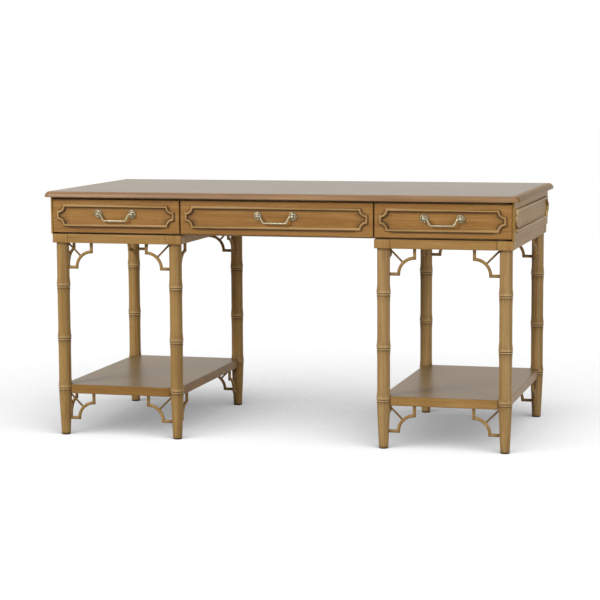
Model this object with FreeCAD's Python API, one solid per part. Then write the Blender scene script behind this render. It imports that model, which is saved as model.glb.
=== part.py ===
import FreeCAD, Part

import math
import os

# Sizes are in millimetres. X runs along the width, Y from front to back, Z up.
# The origin lies on the floor under the middle of the top.

# Top board and the moulded edge round it
TOP_WIDTH = 1524.0
TOP_DEPTH = 762.0
DESK_HEIGHT = 787.0
TOP_THICKNESS = 18.0
TOP_OVERHANG = 19.0
EDGE_WIDTH = 25.0
EDGE_ROUND = 13.5
EDGE_NOSE_ARRIS = 3.0

# Case that holds the drawers
CASE_HEIGHT = 117.0
BOARD = 18.0
SIDE_LIP = 6.0
BACK_THICKNESS = 12.0
DUST_THICKNESS = 6.0
STRETCHER_WIDTH = 60.0
STRETCHER_THICKNESS = 18.0
KNEEHOLE_WIDTH = 622.0

# Drawer fronts and the gaps round them
FRONT_THICKNESS = 20.0
FRONT_ARRIS = 1.5
GAP_ABOVE_FRONT = 6.5
GAP_BELOW_FRONT = 4.7
GAP_BETWEEN_FRONTS = 4.0
GAP_AT_LIP = 0.8
STOP_GAP = 1.0

# Drawer boxes and their runners
BOX_BACK_GAP = 92.0
BOX_HEIGHT = 84.0
BOX_BOARD = 12.0
BOX_SIDE_GAP = 2.5
BOTTOM_THICKNESS = 6.0
GROOVE_DEPTH = 5.0
GROOVE_RISE = 8.0
RUNNER_HEIGHT = 6.0
RUNNING_GAP = 0.3

# Rounded moulding laid out with hollow corners on the drawers and the case sides
MOULD_WIDTH = 9.0
MOULD_CROWN = 3.6
MOULD_HEIGHT = 6.6
MOULD_MARGIN = 17.5
MOULD_END_MARGIN = 15.0
MOULD_RISE = 1.0
MOULD_HOLLOW = 24.0
MOULD_HOLLOW_TURNS = 4

# Bail pulls
PULL_SPACING = 113.0
PULL_RISE = 8.0
ROSETTE_RADIUS = 13.5
ROSETTE_THICKNESS = 4.5
ROSETTE_BEVEL = 2.5
ROSETTE_SIDES = 16
POST_WIDTH = 10.0
POST_HEIGHT = 11.0
POST_ARRIS = 2.0
PIVOT_REACH = 12.0
WIRE_RADIUS = 2.6
WIRE_SIDES = 12
WIRE_RUNNING_GAP = 0.05
WIRE_END_GAP = 1.0
BAIL_DROP = 21.7
BAIL_BAR = 74.0
BAIL_SHOULDER = 5.0

# Open pedestals: rail frame, turned legs and shelf
RAIL_INSET = 3.0
RAIL_HEIGHT = 29.0
RAIL_THICKNESS = 40.0
LEG_BLOCK = 50.0
LEG_RADIUS = 20.0
NODE_RADIUS = 22.5
NODE_STEP = 4.0
FOOT_RADIUS = 14.8
FOOT_KNEE_RADIUS = 18.0
FOOT_KNEE_HEIGHT = 76.0
UPPER_NODE = 480.0
MIDDLE_NODE = 310.5
SHELF_TOP = 164.0
SHELF_THICKNESS = 29.0
SHELF_REACH = 7.0
SHELF_NOTCH_FIT = 0.1
CORNER_BLOCK_ARM = 30.0
CORNER_BLOCK_HEIGHT = 24.0

# Fret brackets in the corners under the rails and the shelves
FRET_SPAN = 97.0
FRET_DROP = 80.0
FRET_ARC = 50.0
FRET_BAR = 10.5
FRET_STRUT = 6.0
FRET_THICKNESS = 11.0

# Places that several pieces share
CASE_TOP = DESK_HEIGHT - TOP_THICKNESS
CASE_FLOOR = CASE_TOP - CASE_HEIGHT
CASE_HALF_WIDTH = TOP_WIDTH / 2 - TOP_OVERHANG
CASE_HALF_DEPTH = TOP_DEPTH / 2 - TOP_OVERHANG
CARCASS_FRONT = -CASE_HALF_DEPTH + FRONT_THICKNESS + STOP_GAP
BACK_FACE = CASE_HALF_DEPTH - BACK_THICKNESS
SIDE_INNER = CASE_HALF_WIDTH - BOARD
DIVIDER_MIDDLE = KNEEHOLE_WIDTH / 2
STRETCHER_FLOOR = CASE_TOP - STRETCHER_THICKNESS

FRONT_FLOOR = CASE_FLOOR + GAP_BELOW_FRONT
FRONT_TOP = CASE_TOP - GAP_ABOVE_FRONT
FRONT_MIDDLE = (FRONT_FLOOR + FRONT_TOP) / 2
FRONT_BACK = -CASE_HALF_DEPTH + FRONT_THICKNESS
MOULD_MIDDLE = FRONT_MIDDLE + MOULD_RISE

DUST_TOP = CASE_FLOOR + DUST_THICKNESS
RUNNER_TOP = DUST_TOP + RUNNER_HEIGHT
BOX_FLOOR = RUNNER_TOP + RUNNING_GAP
BOX_TOP = BOX_FLOOR + BOX_HEIGHT
BOX_BACK = BACK_FACE - BOX_BACK_GAP
GROOVE_FLOOR = BOX_FLOOR + GROOVE_RISE
GROOVE_TOP = GROOVE_FLOOR + BOTTOM_THICKNESS

RAIL_FLOOR = CASE_FLOOR - RAIL_HEIGHT
FRAME_OUTER = CASE_HALF_WIDTH - RAIL_INSET
FRAME_INNER = KNEEHOLE_WIDTH / 2
FRAME_HALF_DEPTH = CASE_HALF_DEPTH - RAIL_INSET
LEG_OUTER = FRAME_OUTER - LEG_BLOCK / 2
LEG_INNER = FRAME_INNER + LEG_BLOCK / 2
LEG_HALF_DEPTH = FRAME_HALF_DEPTH - LEG_BLOCK / 2
SHELF_FLOOR = SHELF_TOP - SHELF_THICKNESS
SHELF_NODE = (SHELF_TOP + SHELF_FLOOR) / 2

SIDES = {"left": -1, "right": 1}
DRAWERS = {"left": -1, "centre": 0, "right": 1}
ORIGIN = FreeCAD.Vector(0, 0, 0)
X_AXIS = FreeCAD.Vector(1, 0, 0)
Y_AXIS = FreeCAD.Vector(0, 1, 0)
Z_AXIS = FreeCAD.Vector(0, 0, 1)


def board(x0, x1, y0, y1, z0, z1):
    """A plain board between two corners, given in any order along X."""
    start = FreeCAD.Vector(min(x0, x1), y0, z0)
    return Part.makeBox(abs(x1 - x0), y1 - y0, z1 - z0, start)


def face_of(points):
    """A flat face with straight edges through the points."""
    return Part.Face(Part.makePolygon(points + points[:1]))


def chain(*stretches):
    """A closed face from stretches of two points (a line) or three (an arc)."""
    edges = []
    for stretch in stretches:
        if len(stretch) == 2:
            edges.append(Part.makeLine(*stretch))
        else:
            edges.append(Part.Arc(*stretch).toShape())
    return Part.Face(Part.Wire(edges))


def moved(shape, x=0.0, y=0.0, z=0.0, turn=0.0, axis=Z_AXIS):
    """A copy turned about the origin by degrees, then moved."""
    copy = shape.copy()
    copy.rotate(ORIGIN, axis, turn)
    copy.translate(FreeCAD.Vector(x, y, z))
    return copy


def outline_edge(start, end):
    """A straight edge of a turned outline, as a spline where it tapers."""
    if start.x == end.x or start.z == end.z:
        return Part.makeLine(start, end)
    taper = Part.BSplineCurve()
    taper.buildFromPolesMultsKnots([start, end], [2, 2], [0.0, 1.0], False, 1)
    return taper.toShape()


def save(name, *solids):
    """One node: a single solid, or several like ones kept apart."""
    shape = solids[0] if len(solids) == 1 else Part.makeCompound(list(solids))
    shape.exportStep("parts/" + name + ".step")


def edge_length(length):
    """One mitred length of the top's edge along X, its outer face at Y zero facing -Y."""

    def at(inward, height):
        return FreeCAD.Vector(-length / 2, inward, height)

    turn = math.sqrt(0.5)
    round_middle = at(EDGE_ROUND - EDGE_ROUND * turn, -EDGE_ROUND + EDGE_ROUND * turn)
    nose_foot = at(EDGE_NOSE_ARRIS, -TOP_THICKNESS)
    nose_face = at(0, -TOP_THICKNESS + EDGE_NOSE_ARRIS)
    profile = chain(
        (at(EDGE_WIDTH, 0), at(EDGE_ROUND, 0)),
        (at(EDGE_ROUND, 0), round_middle, at(0, -EDGE_ROUND)),
        (at(0, -EDGE_ROUND), nose_face),
        (nose_face, nose_foot),
        (nose_foot, at(EDGE_WIDTH, -TOP_THICKNESS)),
        (at(EDGE_WIDTH, -TOP_THICKNESS), at(EDGE_WIDTH, 0)),
    )
    mitre = face_of([
        FreeCAD.Vector(-length / 2, 0, -TOP_THICKNESS),
        FreeCAD.Vector(length / 2, 0, -TOP_THICKNESS),
        FreeCAD.Vector(length / 2 - EDGE_WIDTH, EDGE_WIDTH, -TOP_THICKNESS),
        FreeCAD.Vector(-length / 2 + EDGE_WIDTH, EDGE_WIDTH, -TOP_THICKNESS),
    ])
    return profile.extrude(X_AXIS * length).common(mitre.extrude(Z_AXIS * TOP_THICKNESS))


def make_top():
    """The flat top board and the four mitred lengths of moulding round it."""
    half_width = TOP_WIDTH / 2
    half_depth = TOP_DEPTH / 2
    save("desk_top", board(
        -half_width + EDGE_WIDTH, half_width - EDGE_WIDTH,
        -half_depth + EDGE_WIDTH, half_depth - EDGE_WIDTH, CASE_TOP, DESK_HEIGHT,
    ))
    long_edge = edge_length(TOP_WIDTH)
    short_edge = edge_length(TOP_DEPTH)
    save(
        "top_edge_moulding",
        moved(long_edge, y=-half_depth, z=DESK_HEIGHT),
        moved(short_edge, x=half_width, z=DESK_HEIGHT, turn=90),
        moved(long_edge, y=half_depth, z=DESK_HEIGHT, turn=180),
        moved(short_edge, x=-half_width, z=DESK_HEIGHT, turn=270),
    )


def case_side(side):
    """A case side with a thin lip at the front that covers the end of the drawer front."""
    outer = CASE_HALF_WIDTH
    corners = [
        (outer, -CASE_HALF_DEPTH), (outer, CASE_HALF_DEPTH), (SIDE_INNER, CASE_HALF_DEPTH),
        (SIDE_INNER, CARCASS_FRONT), (outer - SIDE_LIP, CARCASS_FRONT),
        (outer - SIDE_LIP, -CASE_HALF_DEPTH),
    ]
    outline = face_of([FreeCAD.Vector(side * x, y, CASE_FLOOR) for x, y in corners])
    return outline.extrude(Z_AXIS * CASE_HEIGHT)


def make_case():
    """Sides, back, dividers, top stretchers and the dust panels under the drawers."""
    front_stretcher = board(
        -SIDE_INNER, SIDE_INNER, CARCASS_FRONT, CARCASS_FRONT + STRETCHER_WIDTH,
        STRETCHER_FLOOR, CASE_TOP,
    )
    back_stretcher = board(
        -SIDE_INNER, SIDE_INNER, BACK_FACE - STRETCHER_WIDTH, BACK_FACE, STRETCHER_FLOOR, CASE_TOP,
    )
    save("case_top_rail_front", front_stretcher)
    save("case_top_rail_back", back_stretcher)
    save("case_back", board(
        -SIDE_INNER, SIDE_INNER, BACK_FACE, CASE_HALF_DEPTH, CASE_FLOOR, CASE_TOP,
    ))
    for name, side in SIDES.items():
        save("case_side_" + name, case_side(side))
        divider = board(
            side * (DIVIDER_MIDDLE - BOARD / 2), side * (DIVIDER_MIDDLE + BOARD / 2),
            CARCASS_FRONT, BACK_FACE, CASE_FLOOR, CASE_TOP,
        )
        save("case_divider_" + name, divider.cut(front_stretcher).cut(back_stretcher))
    bays = [drawer_bay(place) for place in DRAWERS.values()]
    save("dust_panels", *[
        board(x0, x1, CARCASS_FRONT, BACK_FACE, CASE_FLOOR, DUST_TOP) for x0, x1 in bays
    ])
    runners = []
    for place in DRAWERS.values():
        low, high = box_span(place)
        for start in (low, high - BOX_BOARD):
            runners.append(board(
                start, start + BOX_BOARD, CARCASS_FRONT, BACK_FACE, DUST_TOP, RUNNER_TOP,
            ))
    save("drawer_runners", *runners)


def drawer_bay(place):
    """The clear width between the walls on either side of a drawer, from left to right."""
    near = DIVIDER_MIDDLE + BOARD / 2
    if place == 0:
        half = DIVIDER_MIDDLE - BOARD / 2
        return -half, half
    return tuple(sorted((place * near, place * SIDE_INNER)))


def box_span(place):
    """The outside of a drawer box, from left to right."""
    x0, x1 = drawer_bay(place)
    return x0 + BOX_SIDE_GAP, x1 - BOX_SIDE_GAP


def front_span(place):
    """The left and right ends of a drawer front."""
    near = DIVIDER_MIDDLE + GAP_BETWEEN_FRONTS / 2
    if place == 0:
        half = DIVIDER_MIDDLE - GAP_BETWEEN_FRONTS / 2
        return -half, half
    far = CASE_HALF_WIDTH - SIDE_LIP - GAP_AT_LIP
    return tuple(sorted((place * near, place * far)))


def mould_profile(offset):
    """The moulding's section: across it along the given X offset, its back at Y zero."""
    foot = MOULD_WIDTH / 2
    crown = MOULD_CROWN / 2
    corners = [(-foot, 0), (-crown, MOULD_HEIGHT), (crown, MOULD_HEIGHT), (foot, 0)]
    return face_of([FreeCAD.Vector(offset + across, -height, 0) for across, height in corners])


def mould_run(length):
    """A straight run along X whose mitred ends are longest on the +Z edge."""
    half = MOULD_WIDTH / 2
    reach = length / 2 + half
    bar = moved(mould_profile(0), turn=90, axis=Y_AXIS)
    bar.translate(X_AXIS * -reach)
    mitre = face_of([
        FreeCAD.Vector(-reach, 0, half),
        FreeCAD.Vector(reach, 0, half),
        FreeCAD.Vector(length / 2 - half, 0, -half),
        FreeCAD.Vector(-length / 2 + half, 0, -half),
    ])
    return bar.extrude(X_AXIS * 2 * reach).common(mitre.extrude(Y_AXIS * -MOULD_HEIGHT))


def mould_hollow():
    """A hollow quarter round about the upper left corner, in short turns, mitred to its runs."""
    half = MOULD_WIDTH / 2
    step = math.pi / 2 / MOULD_HOLLOW_TURNS
    bend_radius = MOULD_HOLLOW / math.cos(step / 2)
    path = [FreeCAD.Vector(MOULD_HOLLOW, 0, half)]
    for index in range(MOULD_HOLLOW_TURNS):
        angle = step * (index + 0.5)
        path.append(FreeCAD.Vector(bend_radius * math.cos(angle), 0, -bend_radius * math.sin(angle)))
    path.append(FreeCAD.Vector(-half, 0, -MOULD_HOLLOW))
    section = moved(mould_profile(MOULD_HOLLOW), z=half).OuterWire
    sweep = Part.makePolygon(path).makePipeShell([section], True, False, 1)
    band = MOULD_HOLLOW * math.sqrt(2)
    reach = MOULD_HOLLOW + MOULD_WIDTH
    keep = Part.makeBox(
        2 * reach, MOULD_HEIGHT, band, FreeCAD.Vector(-reach, -MOULD_HEIGHT, -band / 2),
    )
    return sweep.common(moved(keep, turn=45, axis=Y_AXIS))


def moulding_frame(width, height):
    """Eight pieces round a panel of this size in the XZ plane, centred, standing out to -Y."""
    half_width = width / 2 - MOULD_END_MARGIN - MOULD_WIDTH / 2
    half_height = height / 2 - MOULD_MARGIN - MOULD_WIDTH / 2
    level = mould_run(2 * (half_width - MOULD_HOLLOW))
    upright = mould_run(2 * (half_height - MOULD_HOLLOW))
    hollow = mould_hollow()
    return [
        moved(level, z=half_height, axis=Y_AXIS),
        moved(hollow, x=half_width, z=half_height, turn=90, axis=Y_AXIS),
        moved(upright, x=half_width, turn=90, axis=Y_AXIS),
        moved(hollow, x=half_width, z=-half_height, turn=180, axis=Y_AXIS),
        moved(level, z=-half_height, turn=180, axis=Y_AXIS),
        moved(hollow, x=-half_width, z=-half_height, turn=270, axis=Y_AXIS),
        moved(upright, x=-half_width, turn=270, axis=Y_AXIS),
        moved(hollow, x=-half_width, z=half_height, axis=Y_AXIS),
    ]


def make_side_mouldings():
    """The same moulding on the outside of each case side, level with the drawers' own."""
    frame = moulding_frame(2 * CASE_HALF_DEPTH, FRONT_TOP - FRONT_FLOOR)
    for name, side in SIDES.items():
        save("side_moulding_" + name, *[
            moved(piece, x=side * CASE_HALF_WIDTH, z=MOULD_MIDDLE, turn=side * 90) for piece in frame
        ])


def turned(points):
    """A solid turned about Z from a half outline of radius and height."""
    outline = [FreeCAD.Vector(radius, 0, height) for radius, height in points]
    edges = [outline_edge(*ends) for ends in zip(outline, outline[1:] + outline[:1])]
    return Part.Face(Part.Wire(edges)).revolve(ORIGIN, Z_AXIS, 360)


def many_sided(sides, radius):
    """A regular outline about the Y axis."""
    corners = []
    for index in range(sides):
        angle = 2 * math.pi * (index + 0.5) / sides
        corners.append(FreeCAD.Vector(radius * math.cos(angle), 0, radius * math.sin(angle)))
    return Part.makePolygon(corners + corners[:1])


def pull_rosette():
    """A many sided plate behind each post, bevelled round the face that the post stands on."""
    plate = Part.Face(many_sided(ROSETTE_SIDES, ROSETTE_RADIUS)).extrude(Y_AXIS * -ROSETTE_THICKNESS)
    show_edges = [edge for edge in plate.Edges if edge.BoundBox.YMax < -ROSETTE_THICKNESS / 2]
    return plate.makeChamfer(ROSETTE_BEVEL, show_edges)


def pull_post():
    """A post with an eased end and a cross hole that the bail's wire turns in."""
    half_height = POST_HEIGHT / 2
    end = PIVOT_REACH + half_height
    corners = [
        (-half_height, ROSETTE_THICKNESS), (-half_height, end - POST_ARRIS),
        (-half_height + POST_ARRIS, end), (half_height - POST_ARRIS, end),
        (half_height, end - POST_ARRIS), (half_height, ROSETTE_THICKNESS),
    ]
    outline = face_of([FreeCAD.Vector(-POST_WIDTH / 2, -reach, z) for z, reach in corners])
    hole = Part.makeCylinder(
        WIRE_RADIUS + WIRE_RUNNING_GAP, POST_WIDTH,
        FreeCAD.Vector(-POST_WIDTH / 2, -PIVOT_REACH, 0), X_AXIS,
    )
    return outline.extrude(X_AXIS * POST_WIDTH).cut(hole)


def pull_bail():
    """The hanging handle: one bent wire whose ends turn in the posts, pivots at Z zero."""
    post = PULL_SPACING / 2
    end = post + POST_WIDTH / 2 - WIRE_END_GAP
    knee = post - POST_WIDTH / 2 - BAIL_SHOULDER
    half_bar = BAIL_BAR / 2

    def at(x, drop):
        return FreeCAD.Vector(x, -PIVOT_REACH, -drop)

    route = [
        at(-end, 0), at(-knee, 0), at(-half_bar, BAIL_DROP),
        at(half_bar, BAIL_DROP), at(knee, 0), at(end, 0),
    ]
    section = moved(many_sided(WIRE_SIDES, WIRE_RADIUS), x=-end, y=-PIVOT_REACH, turn=90)
    return Part.makePolygon(route).makePipeShell([section], True, False, 1)


def drawer_front(place):
    """A drawer front with eased edges and a groove for the bottom."""
    x0, x1 = front_span(place)
    front = board(x0, x1, -CASE_HALF_DEPTH, FRONT_BACK, FRONT_FLOOR, FRONT_TOP)
    show_edges = [
        edge for edge in front.Edges
        if abs(edge.BoundBox.YMin + CASE_HALF_DEPTH) < FRONT_ARRIS
        and abs(edge.BoundBox.YMax + CASE_HALF_DEPTH) < FRONT_ARRIS
    ]
    front = front.makeChamfer(FRONT_ARRIS, show_edges)
    low, high = box_span(place)
    return front.cut(board(
        low + BOX_BOARD - GROOVE_DEPTH, high - BOX_BOARD + GROOVE_DEPTH,
        FRONT_BACK - GROOVE_DEPTH, FRONT_BACK, GROOVE_FLOOR, GROOVE_TOP,
    ))


def make_drawer(name, place):
    """A drawer's front, box, moulding and pull."""
    low, high = box_span(place)
    left_inner = low + BOX_BOARD
    right_inner = high - BOX_BOARD
    bottom = board(
        left_inner - GROOVE_DEPTH, right_inner + GROOVE_DEPTH, FRONT_BACK - GROOVE_DEPTH, BOX_BACK,
        GROOVE_FLOOR, GROOVE_TOP,
    )
    sides = [
        board(x0, x1, FRONT_BACK, BOX_BACK, BOX_FLOOR, BOX_TOP).cut(bottom)
        for x0, x1 in ((low, left_inner), (right_inner, high))
    ]
    save("drawer_front_" + name, drawer_front(place))
    save("drawer_sides_" + name, *sides)
    save("drawer_bottom_" + name, bottom)
    save("drawer_back_" + name, board(
        left_inner, right_inner, BOX_BACK - BOX_BOARD, BOX_BACK, GROOVE_TOP, BOX_TOP,
    ))
    x0, x1 = front_span(place)
    middle = (x0 + x1) / 2
    save("drawer_moulding_" + name, *[
        moved(piece, x=middle, y=-CASE_HALF_DEPTH, z=MOULD_MIDDLE)
        for piece in moulding_frame(x1 - x0, FRONT_TOP - FRONT_FLOOR)
    ])
    pull = {"y": -CASE_HALF_DEPTH, "z": FRONT_MIDDLE + PULL_RISE}
    posts = (middle - PULL_SPACING / 2, middle + PULL_SPACING / 2)
    save("pull_rosettes_" + name, *[moved(pull_rosette(), x=x, **pull) for x in posts])
    save("pull_posts_" + name, *[moved(pull_post(), x=x, **pull) for x in posts])
    save("pull_bail_" + name, moved(pull_bail(), x=middle, **pull))


def leg_outline():
    """The bamboo outline from the foot up: each length widens downwards to the joint below it."""
    points = [(0, 0), (FOOT_RADIUS, 0), (FOOT_KNEE_RADIUS, FOOT_KNEE_HEIGHT)]
    for node in (SHELF_NODE, MIDDLE_NODE, UPPER_NODE):
        points += [(LEG_RADIUS, node - NODE_STEP / 2), (NODE_RADIUS, node + NODE_STEP / 2)]
    return points + [(LEG_RADIUS, RAIL_FLOOR), (0, RAIL_FLOOR)]


def leg_radius(height):
    """How thick the turned leg is at this height."""
    points = leg_outline()[1:-1]
    for (r0, z0), (r1, z1) in zip(points, points[1:]):
        if z0 <= height <= z1:
            return r0 + (r1 - r0) * (height - z0) / (z1 - z0)
    return LEG_RADIUS


def make_leg():
    """A leg on the Z axis: the turned length and the square block that the rails join."""
    half = LEG_BLOCK / 2
    block = board(-half, half, -half, half, RAIL_FLOOR, CASE_FLOOR)
    return turned(leg_outline()).fuse(block)


def fret_bracket(height):
    """A bracket along +X under a rail or shelf at this height, its leg on the Z axis."""
    half = FRET_BAR / 2
    hub = FreeCAD.Vector(FRET_SPAN, 0, -FRET_DROP)
    turn = math.sqrt(0.5)

    def on_arc(radius, across, up):
        return hub + FreeCAD.Vector(-radius * across, 0, radius * up)

    outer = FRET_ARC + half
    inner = FRET_ARC - half
    arc = chain(
        (on_arc(outer, 1, 0), on_arc(outer, turn, turn), on_arc(outer, 0, 1)),
        (on_arc(outer, 0, 1), on_arc(inner, 0, 1)),
        (on_arc(inner, 0, 1), on_arc(inner, turn, turn), on_arc(inner, 1, 0)),
        (on_arc(inner, 1, 0), on_arc(outer, 1, 0)),
    )

    def plate(*corners):
        return face_of([FreeCAD.Vector(x, 0, z) for x, z in corners])

    arm_top = -FRET_DROP + half
    arm_floor = -FRET_DROP - half
    arm_start = leg_radius(height + arm_top)
    arm_end = FRET_SPAN - inner
    arm = plate((arm_start, arm_floor), (arm_end, arm_floor), (arm_end, arm_top), (arm_start, arm_top))
    hanger_floor = -FRET_DROP + inner
    left = FRET_SPAN - half
    right = FRET_SPAN + half
    hanger = plate((left, hanger_floor), (right, hanger_floor), (right, 0), (left, 0))
    strut_half = FRET_STRUT * turn
    corner = FRET_SPAN - FRET_DROP
    strut_start = leg_radius(height - FRET_STRUT)
    tip_x = FRET_SPAN - FRET_ARC * turn
    tip_z = -FRET_DROP + FRET_ARC * turn
    strut = plate(
        (strut_start, corner - strut_half - strut_start), (strut_start, 0), (corner + strut_half, 0),
        (tip_x + strut_half / 2, tip_z + strut_half / 2),
        (tip_x - strut_half / 2, tip_z - strut_half / 2),
    )
    bars = [face.extrude(Y_AXIS * FRET_THICKNESS) for face in (arc, arm, hanger, strut)]
    bracket = bars[0].fuse(bars[1:]).removeSplitter()
    return moved(bracket, y=-FRET_THICKNESS / 2, z=height)


def make_pedestal(name, side, leg):
    """Four legs under a rail frame, with a shelf between them."""
    legs = {"outer": side * LEG_OUTER, "inner": side * LEG_INNER}
    rows = {"front": -LEG_HALF_DEPTH, "back": LEG_HALF_DEPTH}
    for column, x in legs.items():
        for row, y in rows.items():
            save("leg_" + name + "_" + row + "_" + column, moved(leg, x=x, y=y))

    block = LEG_BLOCK / 2
    level_start, level_end = sorted((side * (LEG_INNER + block), side * (LEG_OUTER - block)))
    face = FRAME_HALF_DEPTH
    save("rail_" + name + "_front", board(
        level_start, level_end, -face, -face + RAIL_THICKNESS, RAIL_FLOOR, CASE_FLOOR,
    ))
    save("rail_" + name + "_back", board(
        level_start, level_end, face - RAIL_THICKNESS, face, RAIL_FLOOR, CASE_FLOOR,
    ))
    reach = LEG_HALF_DEPTH - block
    outer_rail = (side * (FRAME_OUTER - RAIL_THICKNESS), side * FRAME_OUTER)
    inner_rail = (side * FRAME_INNER, side * (FRAME_INNER + RAIL_THICKNESS))
    save("side_rails_" + name, *[
        board(x0, x1, -reach, reach, RAIL_FLOOR, CASE_FLOOR) for x0, x1 in (outer_rail, inner_rail)
    ])
    save("corner_blocks_" + name, *corner_blocks(side))

    edges = sorted((side * (LEG_INNER - SHELF_REACH), side * (LEG_OUTER + SHELF_REACH)))
    half_depth = LEG_HALF_DEPTH + SHELF_REACH
    shelf = board(edges[0], edges[1], -half_depth, half_depth, SHELF_FLOOR, SHELF_TOP)
    for x in legs.values():
        for y in rows.values():
            shelf = shelf.cut(Part.makeCylinder(
                NODE_RADIUS + SHELF_NOTCH_FIT, SHELF_THICKNESS, FreeCAD.Vector(x, y, SHELF_FLOOR),
            ))
    save("shelf_" + name, shelf)


def make_fret_brackets():
    """Two brackets at each leg inside its own pedestal, under the rails and under the shelves."""
    for level, height in (("upper", RAIL_FLOOR), ("lower", SHELF_FLOOR)):
        bracket = fret_bracket(height)
        frets = []
        for side in SIDES.values():
            for x, inward in ((side * LEG_OUTER, -side), (side * LEG_INNER, side)):
                for y in (-LEG_HALF_DEPTH, LEG_HALF_DEPTH):
                    frets.append(moved(bracket, x=x, y=y, turn=90 - 90 * inward))
                    frets.append(moved(bracket, x=x, y=y, turn=90 if y < 0 else 270))
        save("fret_brackets_" + level, *frets)


def corner_blocks(side):
    """Glue blocks in the four inner corners of a rail frame, hugging the leg blocks."""
    gap = LEG_BLOCK - RAIL_THICKNESS
    arm = CORNER_BLOCK_ARM
    corners = [(-arm, 0), (0, 0), (0, gap), (gap, gap), (gap, gap + arm)]
    blocks = []
    for x, x_sign in ((FRAME_OUTER, 1), (FRAME_INNER, -1)):
        for y_sign in (-1, 1):
            outline = []
            for along, inward in corners:
                outline.append(FreeCAD.Vector(
                    side * (x + x_sign * (along - LEG_BLOCK)),
                    y_sign * (FRAME_HALF_DEPTH - RAIL_THICKNESS - inward),
                    CASE_FLOOR - CORNER_BLOCK_HEIGHT,
                ))
            blocks.append(face_of(outline).extrude(Z_AXIS * CORNER_BLOCK_HEIGHT))
    return blocks


os.makedirs("parts", exist_ok=True)
make_top()
make_case()
make_side_mouldings()
for drawer_name, drawer_place in DRAWERS.items():
    make_drawer(drawer_name, drawer_place)
whole_leg = make_leg()
for side_name, side_sign in SIDES.items():
    make_pedestal(side_name, side_sign, whole_leg)
make_fret_brackets()
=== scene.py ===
import logging
import math
from collections.abc import Iterable, Sequence
from dataclasses import dataclass, replace
from enum import Enum
from functools import cache, partialmethod

import bmesh
import bpy
from mathutils import Color, Matrix, Vector


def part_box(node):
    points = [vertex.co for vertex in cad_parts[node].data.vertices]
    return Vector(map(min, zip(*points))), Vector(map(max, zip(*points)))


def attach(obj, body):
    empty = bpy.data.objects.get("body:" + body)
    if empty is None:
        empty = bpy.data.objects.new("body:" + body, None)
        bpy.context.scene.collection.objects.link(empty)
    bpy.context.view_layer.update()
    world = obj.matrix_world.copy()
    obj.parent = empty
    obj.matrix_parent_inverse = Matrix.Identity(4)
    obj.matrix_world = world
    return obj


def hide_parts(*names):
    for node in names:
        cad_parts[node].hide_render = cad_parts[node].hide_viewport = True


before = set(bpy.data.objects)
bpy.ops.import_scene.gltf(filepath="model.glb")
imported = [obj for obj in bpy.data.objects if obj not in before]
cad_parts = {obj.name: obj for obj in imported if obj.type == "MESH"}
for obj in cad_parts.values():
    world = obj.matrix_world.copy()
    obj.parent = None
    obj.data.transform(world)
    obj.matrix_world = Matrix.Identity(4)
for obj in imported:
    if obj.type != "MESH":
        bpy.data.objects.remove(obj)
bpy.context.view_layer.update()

LOG = logging.getLogger("pedestal_desk")
# Points carry glaze and painted light: above 0 glaze and painted shade, below 0 rubbed wear and painted
# highlights
GLAZE_AND_SHADE_LAYER = "glaze"
BODY_OF_DESK = "desk"
UP = Vector((0, 0, 1))
FRONT = Vector((0, -1, 0))
WHITE = (1.0, 1.0, 1.0, 1.0)

# The low and high ends between which a reading counts
NOISE_SPAN = (0.35, 0.65)
RECESS_SPAN = (0.42, 0.95)
EDGE_SPAN = (0.35, 0.9)
UPTURN_SPAN = (0.55, 0.95)
RECESS_SAMPLES = 6
EDGE_SAMPLES = 4

# How boards get their softened edges
EASE_TURNS = 2
EASE_ANGLE = 30.0
WELD_GAP = 1e-5

Socket = bpy.types.NodeSocket
Colour = tuple[float, float, float, float]
Span = tuple[float, float]
Triple = tuple[float, float, float]


class Grain(Enum):
    """The way the wood fibres run, as an axis number of the row frame."""

    ALONG_X = 0
    ALONG_Y = 1
    ALONG_Z = 2

    def stretch(self, along: float, across: float) -> Vector:
        """A texture scale with so many patches per metre along and across the fibres."""
        return Vector([along if axis == self.value else across for axis in range(3)])


@dataclass(frozen=True)
class Tone:
    """A colour as a screen shows it, each channel from 0 to 255."""

    red: float
    green: float
    blue: float

    def linear(self) -> Colour:
        """The tone as scene light, with full alpha."""
        shown = Color((self.red / 255, self.green / 255, self.blue / 255))
        return (*shown.from_srgb_to_scene_linear(), 1.0)


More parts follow.
